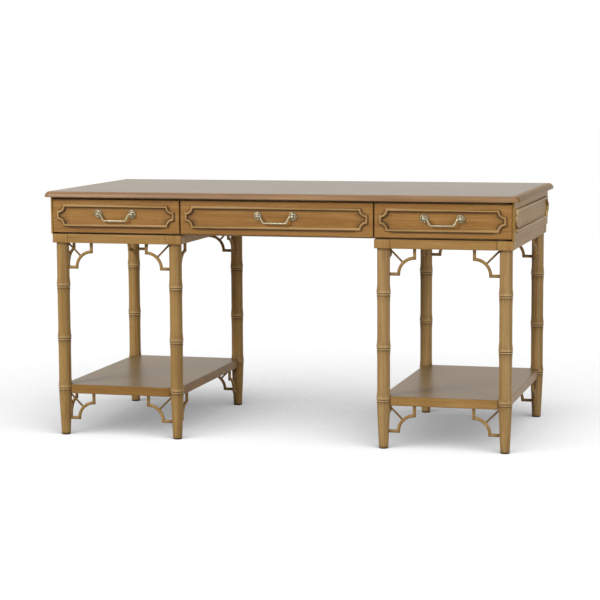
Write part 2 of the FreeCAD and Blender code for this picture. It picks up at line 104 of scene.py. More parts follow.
class ShaderBench:
    """The node tree of a material or world, with short ways to add nodes and join them."""

    def __init__(self, owner: bpy.types.ID, output: str = "OutputMaterial") -> None:
        """Starts with an empty tree.

        Args:
            owner: the new material or world.
            output: the type of its output node.
        """
        self.owner = owner
        owner.use_nodes = True
        self.tree = owner.node_tree
        self.tree.nodes.clear()
        self.output = self.add(output)

    def add(self, kind: str, inputs: dict | None = None, **settings: object) -> bpy.types.Node:
        """Adds one node.

        Args:
            kind: Blender's name for the node type, after its usual start.
            inputs: values or sockets for its inputs, by name or number.
            settings: the node's own properties.

        Returns:
            The new node.
        """
        node = self.tree.nodes.new("ShaderNode" + kind)
        for key, value in settings.items():
            setattr(node, key, value)
        for key, value in (inputs or {}).items():
            if isinstance(value, Socket):
                self.tree.links.new(value, node.inputs[key])
            else:
                node.inputs[key].default_value = value
        return node

    def calc(self, operation: str, first: object, second: object = 0.0, held: bool = False) -> Socket:
        """One step of arithmetic on two values or sockets, held between 0 and 1 where asked."""
        inputs = {0: first, 1: second}
        return self.add("Math", inputs, operation=operation, use_clamp=held).outputs[0]

    less = partialmethod(calc, "SUBTRACT")
    least = partialmethod(calc, "MINIMUM")
    most = partialmethod(calc, "MAXIMUM", held=True)
    times = partialmethod(calc, "MULTIPLY", held=True)
    over = partialmethod(calc, "GREATER_THAN", held=True)

    def spread(self, value: object, low: float, high: float, start: float, end: float) -> Socket:
        """Maps low..high of a value to start..end, held at both ends."""
        return self.add("MapRange", {0: value, 1: low, 2: high, 3: start, 4: end}).outputs[0]

    def fade(self, distance: Socket, reach: float, share: float) -> Socket:
        """A share that fades to nothing over a distance."""
        return self.spread(distance, 0.0, reach, share, 0.0)

    def level(self, noise: Socket, start: float, end: float) -> Socket:
        """Maps the low and high patches of a noise to start..end."""
        return self.spread(noise, *NOISE_SPAN, start, end)

    def mix(self, share: object, first: object, second: object) -> Socket:
        """Lays a share of the second colour over the first."""
        return self.add("Mix", {0: share, 6: first, 7: second}, data_type="RGBA").outputs[2]

    def place(self) -> Socket:
        """The point's place in the row frame, at rest."""
        return self.add("TexCoord").outputs["Object"]

    def facing(self) -> Socket:
        """The surface's own direction."""
        return self.add("TexCoord").outputs["Normal"]

    def painted(self) -> Socket:
        """The glaze and painted shade (above 0) and the rubbed wear and painted highlights (below 0) on the
        piece's points, zero on pieces without any.
        """
        return self.add("Attribute", attribute_name=GLAZE_AND_SHADE_LAYER).outputs["Fac"]

    def seen(self) -> Socket:
        """1 for what the camera sees, also in mirrors and through glass, 0 for light that is passed on."""
        rays = self.add("LightPath").outputs
        return self.most(self.most(rays["Is Camera Ray"], rays["Is Glossy Ray"]), rays["Is Transmission Ray"])

    def noise(self, scale: Vector, detail: float = 3.0, rough: float = 0.55, warp: float = 0.0) -> Socket:
        """Draws noise over the piece's own place in the row frame.

        Args:
            scale: patches per metre along each axis.
            detail: how many finer layers are added.
            rough: the strength of the finer layers.
            warp: how far the pattern is bent.

        Returns:
            The noise value's socket.
        """
        mapped = self.add("Mapping", {"Vector": self.place(), "Scale": scale}).outputs[0]
        return self.add("TexNoise", {
            "Vector": mapped, "Scale": 1.0, "Detail": detail, "Roughness": rough, "Distortion": warp,
        }).outputs[0]

    def open_sky(self, inputs: dict, samples: int, **settings: object) -> Socket:
        """How open a point lies, from 0 to 1."""
        return self.add("AmbientOcclusion", inputs, samples=samples, **settings).outputs["AO"]

    def recess(self, reach: float) -> Socket:
        """How deep in a corner a point lies, from 0 in the open to 1."""
        return self.spread(self.open_sky({"Distance": reach}, RECESS_SAMPLES), *RECESS_SPAN, 1.0, 0.0)

    def edge(self, reach: float) -> Socket:
        """How near an outer edge a point lies, from 0 on the flat to 1."""
        inner = self.open_sky({"Distance": reach}, EDGE_SAMPLES, inside=True, only_local=True)
        return self.spread(inner, *EDGE_SPAN, 1.0, 0.0)

    def upturned(self) -> Socket:
        """1 on faces that look up, 0 on upright ones."""
        up = self.add("SeparateXYZ", {0: self.facing()}).outputs["Z"]
        return self.spread(up, *UPTURN_SPAN, 0.0, 1.0)

    def bump(self, height: Socket, strength: float, depth: float) -> Socket:
        """The surface's direction with a fine relief on it."""
        inputs = {"Strength": strength, "Distance": depth, "Height": height}
        return self.add("Bump", inputs).outputs[0]

    def finish(self, shader: bpy.types.Node) -> bpy.types.ID:
        """Joins the surface shader to the output and hands over the material or world."""
        self.tree.links.new(shader.outputs[0], self.output.inputs["Surface"])
        return self.owner


@dataclass(frozen=True)
class FieldGlazeAndShadow:
    """Glaze and painted shade on a drawer front round its moulding frame, with painted shadow lines under its
    runs, given by the frame's middle line.
    """

    name: str
    middle: float
    level: float
    half_width: float
    half_height: float
    hollow: float
    foot: float
    # Widths and shares of the painted shadow lines, of the glaze with painted shade at the ends, and of the
    # notches
    line: float = 0.0085
    line_share: float = 1.0
    end_glaze_and_shade: float = 0.02
    end_glaze_and_shade_share: float = 0.6
    notch: float = 0.009
    notch_share: float = 0.75
    patches: Triple = (38.0, 38.0, 38.0)
    smear_span: Span = (0.35, 0.6)
    smear_least: float = 0.3

    def mask(self, bench: ShaderBench) -> Socket:
        """Works out how much glaze and painted shade lie at a point of the front.

        Args:
            bench: the material that the mask goes into.

        Returns:
            The share's socket, from 0 to 1.
        """
        place = bench.add("SeparateXYZ", {0: bench.place()}).outputs
        rise = bench.less(place["Z"], self.level)
        from_end = bench.less(self.half_width, bench.calc("ABSOLUTE", bench.less(place["X"], self.middle)))
        from_run = bench.less(self.half_height, bench.calc("ABSOLUTE", rise))
        corner = bench.add("CombineXYZ", {0: from_end, 1: from_run}).outputs[0]
        spoke = bench.add("VectorMath", {0: corner}, operation="LENGTH").outputs["Value"]
        patches = bench.noise(Vector(self.patches), detail=2.0)
        smeared = bench.spread(patches, *self.smear_span, self.smear_least, 1.0)

        # Inside the frame: glaze with painted shade along its ends and hollows, and a painted shadow line
        # under its top run
        away = bench.least(from_end, bench.less(spoke, self.hollow))
        inside = bench.over(bench.least(away, from_run), self.foot)
        away = bench.less(away, self.foot)
        end_glaze_and_shade = bench.times(bench.fade(away, self.end_glaze_and_shade, self.end_glaze_and_shade_share), smeared)
        held = bench.most(bench.fade(away, self.line, self.line_share), end_glaze_and_shade)
        under_top = bench.less(self.half_height - self.foot, rise)
        held = bench.times(bench.most(held, bench.fade(under_top, self.line, self.line_share)), inside)

        # Outside it: a painted shadow line under its low run, fading out towards the hollows
        under_low = bench.less(-self.half_height - self.foot, rise)
        inner_run = bench.spread(from_end, self.hollow, 2 * self.hollow, 0.0, 1.0)
        below = bench.times(bench.over(under_low, 0.0), inner_run)
        held = bench.most(held, bench.times(below, bench.fade(under_low, self.line, self.line_share)))

        # Glaze with painted shade in the notches that the hollows leave at the corners
        in_notch = bench.less(self.hollow - self.foot, spoke)
        notch = bench.times(bench.fade(in_notch, self.notch, self.notch_share), smeared)
        notch = bench.times(notch, bench.over(in_notch, 0.0))
        boxed = bench.spread(bench.least(from_end, from_run), -self.foot, self.foot, 0.0, 1.0)
        return bench.most(held, bench.times(notch, boxed))


@dataclass(frozen=True)
class WoodFinish:
    """Stained wood under a satin lacquer, with glaze, grime and painted shade in the corners, and rubbed edges
    and painted highlights in a pale tone.
    """

    name: str
    light: Tone
    middle: Tone
    dark: Tone
    glaze: Tone
    worn_and_highlight: Tone
    # Tone on faces that look up, where set: painted shade on the rails' tops, a painted sheen on the shelf
    # tops
    top_shade_and_sheen: Tone | None = None
    top_shade_and_sheen_share: float = 0.85
    roughness: float = 0.4
    gloss: float = 0.25
    rough_span: Span = (0.25, 0.75)
    rough_swing: Span = (-0.05, 0.07)
    figure: Span = (2.0, 44.0)
    fibre: Span = (9.0, 420.0)
    fibre_share: float = 0.5
    streak_stops: Triple = (0.36, 0.5, 0.64)
    pore: Span = (48.0, 1300.0)
    pore_span: Span = (0.6, 0.72)
    pore_depth: float = 0.3
    pore_sink: float = 0.6
    # Glaze with painted shade in tight corners, grime with painted shade in wide ones
    glaze_reach: float = 0.006
    glaze_share: float = 0.5
    glaze_span: Span = (0.3, 0.7)
    glaze_least: float = 0.8
    grime_and_shade_reach: float = 0.03
    grime_and_shade_share: float = 0.16
    grime_and_shade_swing: Span = (1.5, 0.5)
    edge_reach: float = 0.0022
    edge_share: float = 0.3
    edge_least: float = 0.4
    relief: float = 0.16
    relief_depth: float = 0.0005
    cloud: Triple = (6.0, 6.0, 6.0)
    mottle: float = 0.3

    def stained(self, bench: ShaderBench, streak: Socket, cloud: Socket, pores: Socket) -> Socket:
        """Colours the bare wood.

        Args:
            bench: the material.
            streak: the noise that the grain follows.
            cloud: the noise of the wide patches.
            pores: where the open pores lie.

        Returns:
            The colour's socket.
        """
        ramp = bench.add("ValToRGB", {"Fac": streak})
        stops = ramp.color_ramp.elements
        stops[0].position, middle, stops[1].position = self.streak_stops
        stops[0].color, stops[1].color = self.dark.linear(), self.light.linear()
        stops.new(middle).color = self.middle.linear()
        colour = bench.mix(bench.level(cloud, 0.0, self.mottle), ramp.outputs[0], self.dark.linear())
        # Faces that look up take their own tone: painted shade on the rails' tops, a painted sheen on the
        # shelf tops
        if self.top_shade_and_sheen:
            colour = bench.mix(bench.times(bench.upturned(), self.top_shade_and_sheen_share), colour, self.top_shade_and_sheen.linear())
        return bench.mix(bench.times(pores, self.pore_depth), colour, self.glaze.linear())

    def aged(self, bench: ShaderBench, colour: Socket, cloud: Socket, fibre: Socket, left: Socket) -> Socket:
        """Rubs the edges pale, paints highlights pale, and leaves glaze, grime and painted shade in the
        corners.

        Args:
            bench: the material.
            colour: the stained wood's colour.
            cloud: the noise of the wide patches.
            fibre: the noise of the fibres.
            left: glaze and painted shade on the piece, below 0 for rubbing and painted highlights.

        Returns:
            The aged colour's socket.
        """
        # Rubbed edges and painted highlights take the pale tone
        rubbed = bench.times(bench.edge(self.edge_reach), bench.level(cloud, self.edge_least, 1.0))
        rubbed = bench.most(bench.times(rubbed, self.edge_share), bench.times(left, -1.0))
        colour = bench.mix(rubbed, colour, self.worn_and_highlight.linear())
        # Grime and painted shade in the wide corners, in patches
        grime_and_shade = bench.level(cloud, *(self.grime_and_shade_share * swing for swing in self.grime_and_shade_swing))
        colour = bench.mix(bench.times(bench.recess(self.grime_and_shade_reach), grime_and_shade), colour, self.glaze.linear())
        # Glaze and painted shade in the tight corners and where painted on the points, broken up by the fibres
        held = bench.most(bench.times(bench.recess(self.glaze_reach), self.glaze_share), left)
        held = bench.times(held, bench.spread(fibre, *self.glaze_span, 1.0, self.glaze_least))
        return bench.mix(held, colour, self.glaze.linear())

    @cache
    def material(self, grain: Grain, dirt: FieldGlazeAndShadow | None = None) -> bpy.types.Material:
        """Makes the finish with its fibres running one way.

        Args:
            grain: the axis along which the fibres run.
            dirt: the glaze and painted shadow round a moulding frame, if any.

        Returns:
            The material, made once for each axis and frame.
        """
        name = f"{self.name}_{grain.name.lower()}" + (f"_{dirt.name}" if dirt else "")
        bench = ShaderBench(bpy.data.materials.new(name))
        figure = bench.noise(grain.stretch(*self.figure), detail=4.0, rough=0.6, warp=0.35)
        fibre = bench.noise(grain.stretch(*self.fibre), detail=5.0, rough=0.62)
        cloud = bench.noise(Vector(self.cloud))
        pores = bench.spread(bench.noise(grain.stretch(*self.pore), detail=1.0), *self.pore_span, 0.0, 1.0)
        colour = self.stained(bench, bench.mix(self.fibre_share, figure, fibre), cloud, pores)
        # Glaze and painted shadow round a drawer's moulding where given, else the glaze and painted light on
        # the points
        left = dirt.mask(bench) if dirt else bench.painted()
        height = bench.less(fibre, bench.calc("MULTIPLY", pores, self.pore_sink))
        rough = (self.roughness + swing for swing in self.rough_swing)
        return bench.finish(bench.add("BsdfPrincipled", {
            "Base Color": self.aged(bench, colour, cloud, fibre, left),
            "Roughness": bench.spread(fibre, *self.rough_span, *rough),
            "Normal": bench.bump(height, self.relief, self.relief_depth),
            "Specular IOR Level": self.gloss,
        }))


@dataclass(frozen=True)
class BrassFinish:
    """Pale lacquered brass with darker hollows and rubbed high spots."""

    name: str = "pale_brass"
    bright: Tone = Tone(184, 176, 151)
    dull: Tone = Tone(158, 148, 120)
    hollow: Tone = Tone(58, 48, 30)
    hollow_reach: float = 0.003
    hollow_share: float = 0.55
    roughness: float = 0.45
    rough_span: Span = (0.3, 0.7)
    rough_swing: Span = (-0.06, 0.1)
    stain: Triple = (140.0, 140.0, 140.0)
    brush: Triple = (120.0, 1500.0, 1500.0)
    relief: float = 0.08
    relief_depth: float = 0.0003

    @cache
    def material(self) -> bpy.types.Material:
        """Makes the brass.

        Returns:
            The material, made once.
        """
        bench = ShaderBench(bpy.data.materials.new(self.name))
        stain = bench.noise(Vector(self.stain), detail=4.0, rough=0.6)
        brush = bench.noise(Vector(self.brush), detail=2.0)
        colour = bench.mix(bench.level(stain, 0.0, 1.0), self.bright.linear(), self.dull.linear())
        held = bench.most(bench.painted(), bench.recess(self.hollow_reach))
        colour = bench.mix(bench.times(held, self.hollow_share), colour, self.hollow.linear())
        rough = (self.roughness + swing for swing in self.rough_swing)
        return bench.finish(bench.add("BsdfPrincipled", {
            "Base Color": colour,
            "Metallic": 1.0,
            "Roughness": bench.spread(stain, *self.rough_span, *rough),
            "Normal": bench.bump(brush, self.relief, self.relief_depth),
        }))


@dataclass(frozen=True)
class StudioFinish:
    """The pale floor: white to the camera in the open, with a painted shadow where the desk stands over it."""

    floor: Tone = Tone(62, 64, 66)
    bounce: Tone = Tone(150, 150, 150)
    reach: float = 4.0
    lean: Triple = (0.65, -2.0, 0.0)
    shut_share: float = 0.15
    open_share: float = 0.95
    near_reach: float = 0.4
    near_share: float = 0.35
    samples: int = 12

    def material(self) -> bpy.types.Material:
        """Makes the floor's material.

        Returns:
            The material.
        """
        bench = ShaderBench(bpy.data.materials.new("studio_floor"))
        seen = bench.seen()
        colour = bench.mix(seen, self.bounce.linear(), self.floor.linear())
        diffuse = bench.add("BsdfDiffuse", {"Color": colour})
        # Painted shadow: the glow that the camera sees dims where the floor is shut in, the reading leaning
        # towards the front so that the shadow falls under and behind the desk
        tilt = {0: bench.facing(), 1: Vector(self.lean)}
        ahead = bench.add("VectorMath", tilt, operation="ADD").outputs[0]
        ahead = bench.add("VectorMath", {0: ahead}, operation="NORMALIZE").outputs[0]
        far = bench.open_sky({"Distance": self.reach, "Normal": ahead}, self.samples)
        near = bench.open_sky({"Distance": self.near_reach, "Normal": ahead}, self.samples)
        glow_under_painted_shadow = bench.times(
            bench.spread(far, self.shut_share, self.open_share, 0.0, 1.0),
            bench.spread(near, 0.0, 1.0, self.near_share, 1.0),
        )
        glow = bench.add("Emission", {"Strength": bench.times(seen, glow_under_painted_shadow)})
        return bench.finish(bench.add("AddShader", {0: diffuse.outputs[0], 1: glow.outputs[0]}))


CASE_WOOD = WoodFinish(
    "case_wood", Tone(186, 140, 80), Tone(166, 120, 62), Tone(140, 96, 46),
    glaze=Tone(44, 24, 8), worn_and_highlight=Tone(198, 158, 96), glaze_share=0.28,
)
# A lighter, less glossy copy of the case wood for the case ends: painted lighter for the light that falls on
# them
END_WOOD = replace(
    CASE_WOOD, name="end_wood", light=Tone(191, 150, 82), middle=Tone(171, 130, 64), dark=Tone(145, 106, 48),
    gloss=0.14,
)
# Its faces that look up are painted near black: painted shade in the gap between the drawers and the rails
RAIL_WOOD = WoodFinish(
    "rail_wood", Tone(192, 152, 96), Tone(176, 136, 80), Tone(152, 112, 62),
    glaze=Tone(52, 30, 12), worn_and_highlight=Tone(212, 178, 120), top_shade_and_sheen=Tone(34, 22, 12), gloss=0.1, edge_share=0.5,
)
LEG_WOOD = WoodFinish(
    "leg_wood", Tone(196, 159, 102), Tone(178, 141, 86), Tone(150, 113, 64),
    glaze=Tone(54, 34, 16), worn_and_highlight=Tone(216, 186, 136), fibre=(7.0, 360.0), figure=(1.6, 60.0), gloss=0.12,
)
# A lighter copy of the leg wood for the right pedestal: painted lighter for the light that falls on that side
LEG_WOOD_PAINTED_LIGHTER = replace(
    LEG_WOOD, name="leg_wood_painted_lighter",
    light=Tone(204, 170, 116), middle=Tone(186, 150, 98), dark=Tone(156, 120, 72),
)
TOP_WOOD = WoodFinish(
    "top_wood", Tone(130, 108, 70), Tone(114, 94, 57), Tone(93, 75, 43),
    glaze=Tone(46, 30, 16), worn_and_highlight=Tone(150, 124, 84), roughness=0.3, gloss=0.34,
)
EDGE_WOOD = WoodFinish(
    "edge_wood", Tone(171, 132, 92), Tone(153, 115, 76), Tone(127, 91, 57),
    glaze=Tone(50, 30, 14), worn_and_highlight=Tone(192, 156, 116), gloss=0.34,
)
END_EDGE_WOOD = replace(
    EDGE_WOOD, name="end_edge_wood",
    light=Tone(172, 136, 84), middle=Tone(154, 118, 66), dark=Tone(128, 94, 48), gloss=0.08,
)
# The shelves' faces that look up take a greyer tone: a painted sheen
SHELF_WOOD = WoodFinish(
    "shelf_wood", Tone(178, 136, 78), Tone(160, 118, 64), Tone(136, 96, 50),
    glaze=Tone(48, 28, 12), worn_and_highlight=Tone(198, 160, 102), top_shade_and_sheen=Tone(131, 113, 80),
    roughness=0.3, gloss=0.07, mottle=0.5,
)
# A lighter copy of the shelf wood for the right pedestal: painted lighter for the light that falls on that
# side, its tops with the painted sheen too
SHELF_WOOD_PAINTED_LIGHTER = replace(
    SHELF_WOOD, name="shelf_wood_painted_lighter",
    light=Tone(192, 152, 94), middle=Tone(176, 136, 80), dark=Tone(150, 110, 62), top_shade_and_sheen=Tone(140, 118, 83),
)
MOULDING_WOOD = WoodFinish(
    "moulding_wood", Tone(198, 158, 100), Tone(180, 140, 82), Tone(154, 112, 60),
    glaze=Tone(46, 25, 8), worn_and_highlight=Tone(220, 188, 130), glaze_share=0.12, grime_and_shade_share=0.05,
)
# A copy of the moulding wood with a lighter pale tone: a painted highlight on the ends' front flanks, which
# the key light does not reach
SIDE_MOULDING_WOOD = replace(MOULDING_WOOD, name="side_moulding_wood", worn_and_highlight=Tone(250, 224, 158))
INNER_WOOD = WoodFinish(
    "inner_wood", Tone(204, 176, 132), Tone(190, 160, 116), Tone(168, 136, 94),
    glaze=Tone(96, 70, 42), worn_and_highlight=Tone(214, 190, 150), roughness=0.58, glaze_share=0.35, edge_share=0.15,
)
BRASS = BrassFinish()


def arc(share: float, steps: int) -> list[tuple[float, float]]:
    """The cosine and sine at both ends of a share of a full turn and at even steps between."""
    angles = [2 * math.pi * share * index / steps for index in range(steps + 1)]
    return [(math.cos(angle), math.sin(angle)) for angle in angles]


def circle(sides: int) -> list[tuple[float, float]]:
    """The cosine and sine of even steps once round."""
    return arc(1.0, sides)[:-1]


def mitre(before: Vector, after: Vector) -> tuple[Vector, Vector]:
    """Finds how a section crosses a corner of its path.

    Args:
        before: the path's direction into the corner.
        after: its direction out of it.

    Returns:
        The direction across the corner, and the same stretched so that the section keeps its width.
    """
    before, after = before.normalized(), after.normalized()
    across = Vector((-before.y - after.y, before.x + after.x)).normalized()
    return across, across / across.dot(Vector((-after.y, after.x)))


class MeshDraft:
    """Points and faces of one piece, in metres in the row frame.

    Glaze and painted light lie on the points: from 0 to 1 for glaze and painted shade, below 0 for rubbed wear
    and painted highlights.
    """

    def __init__(self) -> None:
        """Starts with nothing drawn, faces going to the first finish."""
        self.points: list[Vector] = []
        self.glaze: list[float] = []
        self.faces: list[tuple[int, ...]] = []
        self.finishes: list[int] = []
        self.finish = 0

    def ring(self, points: Iterable[Vector], glaze: float | Sequence[float] = 0.0) -> list[int]:
        """Adds a row of points.

        Args:
            points: where they lie.
            glaze: how much glaze and painted shade they hold, below 0 for rubbed wear and painted highlights;
                one value or one for each.

        Returns:
            Their numbers.
        """
        row = list(points)
        start = len(self.points)
        self.points += row
        self.glaze += [glaze] * len(row) if isinstance(glaze, (int, float)) else list(glaze)
        return list(range(start, len(self.points)))

    def cap(self, row: Sequence[int]) -> None:
        """Adds one face over a row of points, in the present finish."""
        self.faces.append(tuple(row))
        self.finishes.append(self.finish)

    def skin(self, rows: Sequence[list[int]], closed: bool = False) -> None:
        """Joins closed rows of the same length with four-sided faces.

        Args:
            rows: the rows in order.
            closed: whether the last row joins the first, or both get a cap.
        """
        count = len(rows[0])
        for first, second in zip(rows, rows[1:] + rows[:1] if closed else rows[1:]):
            for index in range(count):
                after = (index + 1) % count
                self.cap((first[index], first[after], second[after], second[index]))
        if not closed:
            self.cap(rows[0][::-1])
            self.cap(rows[-1])

    def turn(self, base: Vector, axis: Vector, outline: Sequence[Triple], sides: int) -> None:
        """Turns an outline about an axis.

        Args:
            base: a point on the axis, at distance zero.
            axis: the axis' direction.
            outline: radius, distance along the axis, and glaze and painted light, from one end to the other.
            sides: how many faces go round.
        """
        along = axis.normalized()
        across = along.orthogonal().normalized()
        other = along.cross(across)
        rows = []
        for radius, distance, glaze in outline:
            hub = base + along * distance
            row = [hub + (across * cosine + other * sine) * radius for cosine, sine in circle(sides)]
            rows.append(self.ring(row, glaze))
        self.skin(rows)

    def block(self, low: Vector, high: Vector, ease: float) -> None:
        """Adds a block with eased edges.

        Args:
            low: its lowest corner.
            high: its highest corner.
            ease: the width of the softened edges.
        """
        form = bmesh.new()
        place = Matrix.Translation((low + high) / 2) @ Matrix.Diagonal((*(high - low), 1.0))
        bmesh.ops.create_cube(form, size=1.0, matrix=place)
        edges = form.edges[:]
        bmesh.ops.bevel(form, geom=edges, offset=ease, segments=EASE_TURNS, profile=0.5, affect="EDGES")
        form.verts.index_update()
        numbers = self.ring([vertex.co.copy() for vertex in form.verts])
        for face in form.faces:
            self.cap([numbers[vertex.index] for vertex in face.verts])
        form.free()

    def build(
        self, name: str, node: str, woods: Sequence[bpy.types.Material], body: str, slot: str, crease: float,
    ) -> None:
        """Makes the Blender piece, which rides on its body in place of a CAD node.

        Args:
            name: the piece's name.
            node: the CAD node's name.
            woods: its finishes, in the order that its faces number them.
            body: the CAD body that it moves with.
            slot: the record's material slot; not used.
            crease: faces that meet at more than this angle in degrees stay sharp.
        """
        mesh = bpy.data.meshes.new(name)
        mesh.from_pydata(self.points, [], self.faces)
        for wood in woods:
            mesh.materials.append(wood)
        mesh.polygons.foreach_set("material_index", self.finishes)
        form = bmesh.new()
        form.from_mesh(mesh)
        bmesh.ops.recalc_face_normals(form, faces=form.faces)
        form.to_mesh(mesh)
        form.free()
        layer = mesh.attributes.new(GLAZE_AND_SHADE_LAYER, "FLOAT", "POINT")
        layer.data.foreach_set("value", self.glaze)
        mesh.shade_smooth()
        mesh.set_sharp_from_angle(angle=math.radians(crease))
        piece = bpy.data.objects.new(name, mesh)
        bpy.context.scene.collection.objects.link(piece)
        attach(piece, body)
        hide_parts(node)
        LOG.info("built %s on %s", name, body)


def dress(node: str, material: bpy.types.Material, ease: float = 0.0) -> None:
    """Gives a CAD node its finish and, where asked, softened edges.

    Args:
        node: the node's name.
        material: the finish.
        ease: the width of the softened edges, or zero to leave them crisp.
    """
    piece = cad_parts[node]
    piece.data.materials.clear()
    piece.data.materials.append(material)
    if ease:
        weld = piece.modifiers.new("joined_corners", "WELD")
        weld.merge_threshold = WELD_GAP
        bevel = piece.modifiers.new("eased_edges", "BEVEL")
        bevel.width = ease
        bevel.segments = EASE_TURNS
        bevel.limit_method = "ANGLE"
        bevel.angle_limit = math.radians(EASE_ANGLE)
        bevel.harden_normals = True
    LOG.info("dressed %s", node)


@dataclass
class MouldingFrame:
    """A frame of rounded moulding with hollow corners, laid on a flat face."""

    node: str
    body: str
    out: Vector
    wood: WoodFinish = MOULDING_WOOD
    width: float = 0.009
    height: float = 0.0066
    step: float = 0.0012
    shoulder: float = 1.3
    bead: float = 0.0036
    hollow: float = 0.0208
    hollow_turns: int = 10
    bead_turns: int = 10
    boxy: float = 0.7
    crown: float = 0.25
    hold_gain: float = 1.3
    least_turn: float = 0.3
    crown_rub_and_highlight: float = 0.35
    end_highlight: float = 0.85
    crease: float = 42.0

    def section(self) -> list[Triple]:
        """Draws the moulding's section.

        Returns:
            Offset across, height and hold on the flank's painted shade and highlight, from the inner foot to
            the outer.
        """
        half = self.width / 2
        shoulder = self.step * self.shoulder
        points = [(-half, 0.0, 1.0), (-half, self.step, 1.0), (-self.bead, shoulder, 1.0)]
        for cosine, sine in arc(0.5, self.bead_turns)[1:-1]:
            rise = (self.height - shoulder) * sine ** self.boxy
            hold = max(0.0, abs(cosine) - self.crown) * self.hold_gain
            points.append((-self.bead * cosine, shoulder + rise, hold))
        return points + [(-across, height, hold) for across, height, hold in points[2::-1]]

    def path(self, half_width: float, half_height: float) -> list[Vector]:
        """Draws the frame's middle line.

        Args:
            half_width: half the line's reach along the frame.
            half_height: half its reach up and down.

        Returns:
            The points clockwise, along and up.
        """
        route = []
        for across, up in ((1, 1), (1, -1), (-1, -1), (-1, 1)):
            for first, second in arc(0.25, self.hollow_turns):
                if across * up < 0:
                    first, second = second, first
                along = across * (half_width - self.hollow * first)
                route.append(Vector((along, up * (half_height - self.hollow * second))))
        return route

    def glaze_on(self, facing: Vector) -> float:
        """The painted light on a flank: painted shade where it looks down or along the frame, a painted
        highlight where it looks back.
        """
        left = max(-facing.y, facing.x)
        return left if left > self.least_turn else self.end_highlight * min(0.0, facing.x)

    def make(self) -> None:
        """Sweeps the section round the frame in place of the CAD node."""
        low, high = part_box(self.node)
        middle = (low + high) / 2
        across = UP.cross(self.out)
        reach = abs((high - low).dot(across)) / 2
        route = self.path(reach - self.width / 2, (high.z - low.z) / 2 - self.width / 2)
        back = middle - self.out * abs((high - low).dot(self.out)) / 2
        section = self.section()
        draft = MeshDraft()
        rows = []
        for index, point in enumerate(route):
            bisector, stretched = mitre(point - route[index - 1], route[(index + 1) % len(route)] - point)
            row, glaze = [], []
            for offset, height, hold in section:
                spot = point + stretched * offset
                row.append(back + across * spot.x + UP * spot.y + self.out * height)
                # Each flank is painted dark or pale by the way it faces, as shade and highlight; the crown is
                # painted pale, as rubbed wear and a highlight
                flank = hold * self.glaze_on(-bisector if offset < 0 else bisector)
                glaze.append(flank if hold > 0 else -self.crown_rub_and_highlight)
            rows.append(draft.ring(row, glaze))
        draft.skin(rows, closed=True)
        woods = [self.wood.material(Grain.ALONG_X if self.out.x == 0 else Grain.ALONG_Y)]
        draft.build(self.node + "_bead", self.node, woods, self.body, "moulding_wood", self.crease)

    def dirt(self, name: str) -> FieldGlazeAndShadow:
        """Works out the glaze and painted shadow that lie round this frame on the face behind it.

        Args:
            name: the face's short name.

        Returns:
            The sizes of the glaze and painted shadow.
        """
        low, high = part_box(self.node)
        middle = (low + high) / 2
        size = (high - low) / 2
        half = self.width / 2
        return FieldGlazeAndShadow(name, middle.x, middle.z, size.x - half, size.z - half, self.hollow, half)


